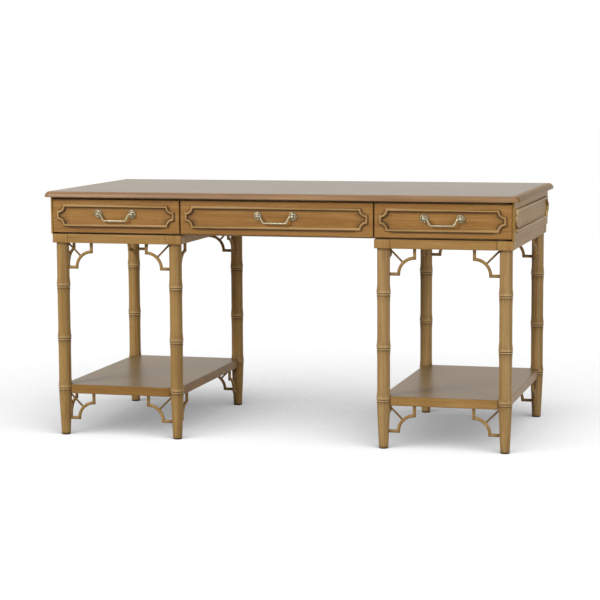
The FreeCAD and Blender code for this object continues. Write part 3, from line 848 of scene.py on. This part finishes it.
@dataclass
class BailPull:
    """A rosette and a ball post at each end, and the bail that swings between them."""

    place: str
    rosette_radius: float = 0.0135
    rosette_depth: float = 0.0045
    petals: int = 8
    petal_depth: float = 0.09
    rosette_sides: int = 48
    rosette_crease: float = 30.0
    ball_radius: float = 0.0058
    ball_turns: int = 10
    neck_radius: float = 0.0042
    neck_flare: float = 1.35
    neck_step: float = 1.2
    neck_rise: float = 0.001
    neck_sink: float = 0.9
    post_sink: float = 0.5
    tip: float = 0.05
    post_sides: int = 28
    wire_radius: float = 0.0026
    wire_sides: int = 20
    drop: float = 0.0217
    bar: float = 0.074
    shoulder: float = 0.003
    bend: float = 0.006
    bend_share: float = 0.45
    bend_turns: int = 6
    crease: float = 38.0

    def rosette(self, draft: MeshDraft, centre: Vector) -> None:
        """Draws one petalled plate, dished between its rim and the post.

        Args:
            draft: the mesh that it goes into.
            centre: the middle of its back.
        """
        # Shares of the radius and of the depth, how far the petals show, and glaze, from the back inwards
        outline = (
            (1.0, 0.0, 1.0, 0.3), (1.0, 0.30, 1.0, 0.0), (0.97, 0.66, 1.0, 0.0), (0.91, 0.92, 0.9, 0.0),
            (0.84, 1.0, 0.8, 0.0), (0.77, 0.90, 0.7, 0.1), (0.70, 0.58, 0.5, 0.4), (0.60, 0.40, 0.2, 0.5),
            (0.48, 0.46, 0.0, 0.4), (0.36, 0.70, 0.0, 0.3),
        )
        rows = []
        for share, height, wave, glaze in outline:
            row = []
            for index, (cosine, sine) in enumerate(circle(self.rosette_sides)):
                dip = 1 - abs(math.cos(math.pi * index * self.petals / self.rosette_sides))
                reach = self.rosette_radius * share * (1 - self.petal_depth * wave * dip)
                row.append(centre + Vector((reach * cosine, -self.rosette_depth * height, reach * sine)))
            rows.append(draft.ring(row, glaze))
        draft.skin(rows)

    def post(self, draft: MeshDraft, centre: Vector, reach: float) -> None:
        """Draws one post: a short neck and a ball that holds the bail's end.

        Args:
            draft: the mesh that it goes into.
            centre: the middle of the rosette's back.
            reach: how far the ball's middle stands out from there.
        """
        ball, neck = self.ball_radius, self.neck_radius
        start = self.rosette_depth * self.post_sink
        outline = [
            (neck * self.neck_flare, start, 0.6), (neck * self.neck_step, start + self.neck_rise, 0.4),
            (neck, reach - ball * self.neck_sink, 0.3),
        ]
        shown = arc(0.5, self.ball_turns)[2:-1]
        outline += [(ball * sine, reach - ball * cosine, 0.0) for cosine, sine in shown]
        outline.append((ball * self.tip, reach + ball, 0.0))
        draft.turn(centre, FRONT, outline, self.post_sides)

    def route(self, pivot: Vector, half_span: float) -> list[Vector]:
        """Draws the bail's middle line.

        Args:
            pivot: the middle between the posts, on the axis that the bail swings about.
            half_span: half the distance between the posts.

        Returns:
            The points from one end to the other, with rounded bends.
        """
        half_bar = self.bar / 2
        knee = half_span - self.ball_radius - self.shoulder
        corners = [
            pivot + Vector((x, 0, z)) for x, z in (
                (-half_span, 0), (-knee, 0), (-half_bar, -self.drop),
                (half_bar, -self.drop), (knee, 0), (half_span, 0),
            )
        ]
        line = [corners[0]]
        for before, corner, after in zip(corners, corners[1:], corners[2:]):
            start, end = (
                corner + side.normalized() * min(self.bend, side.length * self.bend_share)
                for side in (before - corner, after - corner)
            )
            for index in range(self.bend_turns + 1):
                share = index / self.bend_turns
                line.append(start * (1 - share) ** 2 + corner * 2 * share * (1 - share) + end * share ** 2)
        return line + [corners[-1]]

    def bail(self, draft: MeshDraft, line: list[Vector]) -> None:
        """Draws the wire round its middle line.

        Args:
            draft: the mesh that it goes into.
            line: the middle line's points.
        """
        depth = -FRONT
        rows = []
        for index, point in enumerate(line):
            before = line[max(index - 1, 0)]
            after = line[min(index + 1, len(line) - 1)]
            across = (after - before).normalized().cross(depth).normalized()
            rows.append(draft.ring(
                point + (across * cosine + depth * sine) * self.wire_radius
                for cosine, sine in circle(self.wire_sides)
            ))
        draft.skin(rows)

    def make(self) -> None:
        """Builds the rosettes, posts and bail in place of the CAD nodes."""
        low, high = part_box("pull_rosettes_" + self.place)
        bail_low, bail_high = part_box("pull_bail_" + self.place)
        middle_x = (low.x + high.x) / 2
        level = (low.z + high.z) / 2
        half_span = (high.x - low.x) / 2 - self.rosette_radius
        pivot = Vector((middle_x, (bail_low.y + bail_high.y) / 2, level))
        plates, posts, wire = MeshDraft(), MeshDraft(), MeshDraft()
        for sign in (-1, 1):
            centre = Vector((middle_x + sign * half_span, high.y, level))
            self.rosette(plates, centre)
            self.post(posts, centre, high.y - pivot.y)
        self.bail(wire, self.route(pivot, half_span))
        for draft, name, node, carrier, crease in (
            (plates, "rosettes", "rosettes", "drawer", self.rosette_crease),
            (posts, "posts", "posts", "drawer", self.crease),
            (wire, "handle", "bail", "bail", self.crease),
        ):
            draft.build(
                f"pull_{self.place}_{name}", f"pull_{node}_{self.place}", [BRASS.material()],
                f"{carrier}_{self.place}", "pull_brass", crease,
            )


@dataclass
class Top:
    """The flat top and the moulded edge round it, its corners rounded in plan."""

    node: str = "top_edge_moulding"
    width: float = 0.025
    corner: float = 0.021
    corner_turns: int = 8
    round: float = 0.0155
    round_drop: float = 0.0165
    round_turns: int = 14
    arris: float = 0.0012
    arris_turns: int = 4
    inner_corner: float = 0.0003
    foot_glaze: float = 0.5
    crease: float = 44.0

    def section(self, thickness: float) -> list[Triple]:
        """Draws the edge's section.

        Args:
            thickness: how thick the edge is.

        Returns:
            Distance inwards, height under the top's face, and glaze and painted shade, in order, the inner
            foot last.
        """
        points = [(self.width, 0.0, 0.0)]
        for cosine, sine in arc(0.25, self.round_turns):
            points.append((self.round * (1 - sine), -self.round_drop * (1 - cosine), 0.0))
        for cosine, sine in arc(0.25, self.arris_turns):
            points.append((self.arris * (1 - cosine), -thickness + self.arris * (1 - sine), 0.0))
        # The inner foot under the edge is painted dark: painted shade under the edge
        return points + [(self.width, -thickness, self.foot_glaze)]

    def line(self, half: Vector, inward: float) -> list[Vector]:
        """Draws the rounded outline at a distance inside the top's outer one.

        Args:
            half: half the top's width and depth.
            inward: the distance.

        Returns:
            The outline's points.
        """
        radius = max(self.corner - inward, self.inner_corner)
        points = []
        for index, (x_sign, y_sign) in enumerate(((1, 1), (-1, 1), (-1, -1), (1, -1))):
            hub = Vector((x_sign * (half.x - inward - radius), y_sign * (half.y - inward - radius), 0))
            for step in range(self.corner_turns + 1):
                angle = math.pi / 2 * (index + step / self.corner_turns)
                points.append(hub + Vector((math.cos(angle), math.sin(angle), 0)) * radius)
        return points

    def make(self) -> None:
        """Dresses the board and sweeps its edge in place of the CAD node."""
        dress("desk_top", TOP_WOOD.material(Grain.ALONG_X))
        low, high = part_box(self.node)
        half = (high - low) / 2
        middle = (low + high) / 2
        draft = MeshDraft()
        rows = []
        for inward, drop, glaze in self.section(high.z - low.z):
            base = Vector((middle.x, middle.y, high.z + drop))
            rows.append(draft.ring([base + point for point in self.line(half, inward)], glaze))
        draft.skin(rows, closed=True)
        # The lengths at the ends have their own finish, up to the mitres
        for index, face in enumerate(draft.faces):
            centre = sum((draft.points[number] for number in face), Vector()) / len(face) - middle
            draft.finishes[index] = int(half.x - abs(centre.x) < half.y - abs(centre.y))
        woods = [EDGE_WOOD.material(Grain.ALONG_X), END_EDGE_WOOD.material(Grain.ALONG_Y)]
        draft.build("top_edge_swept", self.node, woods, BODY_OF_DESK, "top_wood", self.crease)


@dataclass
class Case:
    """The shallow case that holds the drawers."""

    ease: float = 0.0012
    moulding_step: float = 0.0038
    moulding_end_highlight: float = 1.0

    def make(self) -> None:
        """Dresses the case's boards and lays the moulding on its ends."""
        inner = INNER_WOOD.material(Grain.ALONG_X)
        inner_deep = INNER_WOOD.material(Grain.ALONG_Y)
        dress("case_back", CASE_WOOD.material(Grain.ALONG_X), self.ease)
        for node in ("case_top_rail_front", "case_top_rail_back"):
            dress(node, inner, self.ease)
        for node in ("dust_panels", "drawer_runners"):
            dress(node, inner_deep)
        for side, sign in (("left", -1), ("right", 1)):
            dress("case_side_" + side, END_WOOD.material(Grain.ALONG_Y), self.ease)
            dress("case_divider_" + side, inner_deep, self.ease)
            # The ends' moulding gets its front flanks painted pale at full strength: a painted highlight
            MouldingFrame(
                "side_moulding_" + side, BODY_OF_DESK, Vector((sign, 0, 0)), SIDE_MOULDING_WOOD,
                step=self.moulding_step, end_highlight=self.moulding_end_highlight,
            ).make()


@dataclass
class Drawer:
    """One drawer: its front, box, moulding and pull."""

    place: str
    ease: float = 0.0012

    def make(self) -> None:
        """Dresses the drawer's boards and builds what is fixed to its front."""
        moulding = MouldingFrame("drawer_moulding_" + self.place, "drawer_" + self.place, FRONT)
        # The front takes glaze and painted shadow round its moulding
        front = CASE_WOOD.material(Grain.ALONG_X, moulding.dirt(self.place))
        dress("drawer_front_" + self.place, front, self.ease)
        dress("drawer_sides_" + self.place, INNER_WOOD.material(Grain.ALONG_Y), self.ease)
        dress("drawer_back_" + self.place, INNER_WOOD.material(Grain.ALONG_X), self.ease)
        dress("drawer_bottom_" + self.place, INNER_WOOD.material(Grain.ALONG_X))
        moulding.make()
        BailPull(self.place).make()


@dataclass
class Leg:
    """A turned bamboo leg with its square block."""

    node: str
    wood: WoodFinish
    radius: float = 0.020
    flare: float = 0.0225
    bead: float = 0.0221
    groove: float = 0.0201
    foot: float = 0.0148
    knee: float = 0.018
    knee_height: float = 0.076
    joints: tuple[float, ...] = (0.1495, 0.3105, 0.480)
    flare_length: float = 0.028
    flare_share: float = 0.92
    flare_curve: float = 1.6
    block_ease: float = 0.0016
    neck: float = 0.010
    rail_height: float = 0.029
    sides: int = 40
    crease: float = 50.0

    def joint(self, height: float) -> list[Triple]:
        """Draws one bamboo joint: swell, groove, bead, groove and flared rim.

        Args:
            height: the bead's height over the floor.

        Returns:
            Radius, height, and glaze and painted light, from below upwards.
        """
        radius, flare, bead, groove = self.radius, self.flare, self.bead, self.groove
        swell = flare - radius
        # Radius, height from the bead, and glaze and painted light: painted shade under the swell, glaze and
        # painted shade in the grooves, painted highlights below 0 on the bead and the rim
        steps = (
            (radius, -0.030, 0.0), (radius + swell * 0.12, -0.018, 0.04),
            (radius + swell * 0.32, -0.010, 0.14), (radius + swell * 0.46, -0.0062, 0.25),
            (radius + swell * 0.4, -0.0048, 0.6),
            (groove, -0.0040, 0.65), (groove, -0.0026, 0.65),
            (bead - 0.0007, -0.0019, 0.1), (bead, -0.0008, -0.7),
            (bead, 0.0008, -0.7), (bead - 0.0007, 0.0019, 0.1),
            (groove, 0.0026, 0.65), (groove, 0.0040, 0.65),
            (flare - 0.0006, 0.0048, 0.1), (flare, 0.0058, -0.65), (flare - 0.0002, 0.0080, -0.4),
        )
        points = [(reach, height + rise, glaze) for reach, rise, glaze in steps]
        start = height + steps[-1][1]
        for share, glaze in ((0.2, 0.08), (0.45, 0.1), (0.7, 0.05), (1.0, 0.0)):
            rim = swell * self.flare_share * (1 - share) ** self.flare_curve
            points.append((radius + rim, start + self.flare_length * share, glaze))
        return points

    def outline(self, top: float) -> list[Triple]:
        """Draws the leg's outline.

        Args:
            top: the height at which the block starts.

        Returns:
            Radius, height, and glaze and painted shade, from the floor up to the block.
        """
        foot = self.foot
        # The foot is painted dark where it stands on the floor
        points = [
            (foot * 0.9, 0.0, 1.0), (foot * 0.94, 0.0030, 1.0), (foot, 0.0042, 0.4),
            (foot * 1.01, 0.0090, 0.0), (self.knee, self.knee_height, 0.0),
        ]
        for height in self.joints:
            points += self.joint(height)
        # A painted shadow darkens the leg just under its block
        return points + [(self.radius, top - self.neck, 0.1), (self.radius, top, 0.6)]

    def make(self) -> None:
        """Turns the leg and sets its block on top, in place of the CAD node."""
        low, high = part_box(self.node)
        middle = (low + high) / 2
        rail_floor = high.z - self.rail_height
        draft = MeshDraft()
        draft.turn(Vector((middle.x, middle.y, 0)), UP, self.outline(rail_floor), self.sides)
        draft.finish = 1
        draft.block(Vector((low.x, low.y, rail_floor)), high, self.block_ease)
        woods = [self.wood.material(Grain.ALONG_Z), RAIL_WOOD.material(Grain.ALONG_Z)]
        draft.build(self.node + "_turned", self.node, woods, BODY_OF_DESK, "leg_wood", self.crease)


@dataclass
class Pedestal:
    """Four legs, a rail frame and a shelf."""

    side: str
    leg_wood: WoodFinish
    shelf_wood: WoodFinish
    rail_ease: float = 0.0022
    shelf_ease: float = 0.002

    def make(self) -> None:
        """Builds the legs and dresses the boards between them."""
        for row in ("front", "back"):
            dress(f"rail_{self.side}_{row}", RAIL_WOOD.material(Grain.ALONG_X), self.rail_ease)
            for column in ("outer", "inner"):
                Leg(f"leg_{self.side}_{row}_{column}", self.leg_wood).make()
        dress("side_rails_" + self.side, RAIL_WOOD.material(Grain.ALONG_Y), self.rail_ease)
        dress("shelf_" + self.side, self.shelf_wood.material(Grain.ALONG_X), self.shelf_ease)
        dress("corner_blocks_" + self.side, INNER_WOOD.material(Grain.ALONG_X))


@dataclass
class FretBrackets:
    """One row of fret brackets: round rods in the corners between the legs and the boards over them."""

    level: str
    height: float
    span: float = 0.097
    drop: float = 0.080
    arc: float = 0.050
    arc_turns: int = 9
    rod: float = 0.0051
    strut: float = 0.0031
    leg_bite: float = 0.015
    strut_bite: float = 0.0185
    sides: int = 14
    crease: float = 50.0

    def sweep(self, draft: MeshDraft, line: list[Triple], place: Matrix, radius: float) -> None:
        """Draws a round rod along a line in a bracket's plane, mitred at its corners.

        Args:
            draft: the mesh that it goes into.
            line: the rod's middle line, as distance along, height, and glaze and painted shade.
            place: the bracket's place, its X along the bracket and its Y across it.
            radius: half the rod's thickness.
        """
        points = [Vector((along, height)) for along, height, _ in line]
        rows = []
        for index, point in enumerate(points):
            before = point - points[index - 1] if index else points[1] - point
            after = points[index + 1] - point if index + 1 < len(points) else before
            _, stretched = mitre(before, after)
            row = []
            for cosine, sine in circle(self.sides):
                spot = point + stretched * radius * cosine
                row.append(place @ Vector((spot.x, radius * sine, spot.y)))
            rows.append(draft.ring(row, line[index][2]))
        draft.skin(rows)

    def bracket(self, draft: MeshDraft, place: Matrix) -> None:
        """Draws one bracket: an arm, a hollow arc and a hanger in one, with a strut behind the arc.

        Args:
            draft: the mesh that it goes into.
            place: the bracket's place, its X along the bracket and its Y across it.
        """
        start = self.span - self.arc
        # The rods are painted dark where they meet the leg, the board above and each other: glaze and painted
        # shade between the parts
        line = [(self.leg_bite, -self.drop, 0.6), (start - self.rod * 2, -self.drop, 0.0)]
        for index, (cosine, sine) in enumerate(arc(0.25, self.arc_turns)):
            glaze = 0.3 if index in (0, self.arc_turns) else 0.0
            line.append((self.span - self.arc * cosine, -self.drop + self.arc * sine, glaze))
        line += [(self.span, -self.drop + self.arc + self.rod * 2, 0.0), (self.span, 0.0, 0.5)]
        self.sweep(draft, line, place, self.rod)
        crown = self.span - self.arc * math.sqrt(0.5)
        fall = self.drop - self.arc * math.sqrt(0.5)
        strut = [(self.strut_bite, self.span - self.drop - self.strut_bite, 0.6), (crown, -fall, 0.5)]
        self.sweep(draft, strut, place, self.strut)

    def make(self) -> None:
        """Draws two brackets at each leg in place of the CAD node."""
        draft = MeshDraft()
        for side in ("left", "right"):
            shelf_low, shelf_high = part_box("shelf_" + side)
            middle = (shelf_low + shelf_high) / 2
            for row in ("front", "back"):
                for column in ("outer", "inner"):
                    low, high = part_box(f"leg_{side}_{row}_{column}")
                    axis = (low + high) / 2
                    base = Matrix.Translation((axis.x, axis.y, self.height))
                    along_x = 0.0 if axis.x < middle.x else math.pi
                    along_y = math.pi / 2 if axis.y < middle.y else -math.pi / 2
                    for turn in (along_x, along_y):
                        self.bracket(draft, base @ Matrix.Rotation(turn, 4, "Z"))
        node = "fret_brackets_" + self.level
        woods = [LEG_WOOD.material(Grain.ALONG_Z)]
        draft.build(node + "_rods", node, woods, BODY_OF_DESK, "leg_wood", self.crease)


@dataclass
class Lamp:
    """A soft studio light that faces the desk."""

    name: str
    place: Triple
    size: float
    level: float
    mirrored: bool = True
    aim: Triple = (0.0, 0.0, 0.45)

    def make(self) -> None:
        """Hangs the light, its power worked out from the level that it gives a face turned to it."""
        data = bpy.data.lights.new(self.name, "AREA")
        data.shape = "SQUARE"
        data.size = self.size
        reach = Vector(self.aim) - Vector(self.place)
        data.energy = self.level * math.pi ** 2 * reach.length_squared
        lamp = bpy.data.objects.new(self.name, data)
        lamp.location = self.place
        lamp.rotation_mode = "QUATERNION"
        lamp.rotation_quaternion = reach.to_track_quat("-Z", "Y")
        lamp.visible_glossy = self.mirrored
        bpy.context.scene.collection.objects.link(lamp)
        LOG.info("hung %s", self.name)


@dataclass
class Studio:
    """The floor, the light round the desk and the camera."""

    floor_reach: float = 40.0
    surround: float = 0.09
    camera_place: Triple = (1.6503, -6.2468, 1.1626)
    turn: float = 14.964
    pitch: float = 6.59
    roll: float = -0.296
    lens: float = 118.89
    sensor: float = 36.0
    view_reach: float = 200.0

    def make_floor(self) -> None:
        """Lays the floor."""
        reach = self.floor_reach
        mesh = bpy.data.meshes.new("studio_floor")
        corners = [(-reach, -reach, 0), (reach, -reach, 0), (reach, reach, 0), (-reach, reach, 0)]
        mesh.from_pydata(corners, [], [(0, 1, 2, 3)])
        mesh.materials.append(StudioFinish().material())
        floor = bpy.data.objects.new("studio_floor", mesh)
        bpy.context.scene.collection.objects.link(floor)

    def make_surround(self) -> None:
        """Lights the desk softly from all round, and shows as white."""
        world = bpy.data.worlds.new("studio")
        bpy.context.scene.world = world
        bench = ShaderBench(world, "OutputWorld")
        strength = bench.most(bench.seen(), self.surround)
        bench.finish(bench.add("Background", {"Color": WHITE, "Strength": strength}))

    def make_lamps(self) -> None:
        """Hangs the lights."""
        Lamp("key_light", (-3.0, -4.2, 3.3), 2.1, 0.65).make()
        Lamp("fill_light", (3.4, -2.8, 0.9), 2.2, 0.39).make()
        Lamp("sky_light", (0.0, 0.3, 4.2), 4.0, 0.24).make()
        Lamp("back_light", (-1.6, 5.2, 3.4), 3.0, 0.42, mirrored=False).make()

    def make_camera(self) -> None:
        """Sets the camera where the photograph was taken from."""
        turned = Matrix.Rotation(math.radians(self.turn), 4, "Z")
        pitched = Matrix.Rotation(math.radians(90 - self.pitch), 4, "X")
        rolled = Matrix.Rotation(math.radians(self.roll), 4, "Z")
        data = bpy.data.cameras.new("studio_camera")
        data.lens = self.lens
        data.sensor_width = self.sensor
        data.clip_end = self.view_reach
        camera = bpy.data.objects.new("studio_camera", data)
        camera.matrix_world = Matrix.Translation(self.camera_place) @ turned @ pitched @ rolled
        bpy.context.scene.collection.objects.link(camera)
        bpy.context.scene.camera = camera

    def make(self) -> None:
        """Sets up the whole studio."""
        self.make_floor()
        self.make_surround()
        self.make_lamps()
        self.make_camera()
        bpy.context.scene.view_settings.view_transform = "Standard"


def main() -> None:
    """Builds the desk piece by piece, then the studio round it."""
    logging.basicConfig(level=logging.INFO, format="%(name)s: %(message)s")
    Top().make()
    Case().make()
    for place in ("left", "centre", "right"):
        Drawer(place).make()
    Pedestal("left", LEG_WOOD, SHELF_WOOD).make()
    # The right pedestal takes the leg and shelf woods painted lighter for the light on that side
    Pedestal("right", LEG_WOOD_PAINTED_LIGHTER, SHELF_WOOD_PAINTED_LIGHTER).make()
    FretBrackets("upper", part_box("rail_left_front")[0].z).make()
    FretBrackets("lower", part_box("shelf_left")[0].z).make()
    Studio().make()


if __name__ == "__main__":
    main()
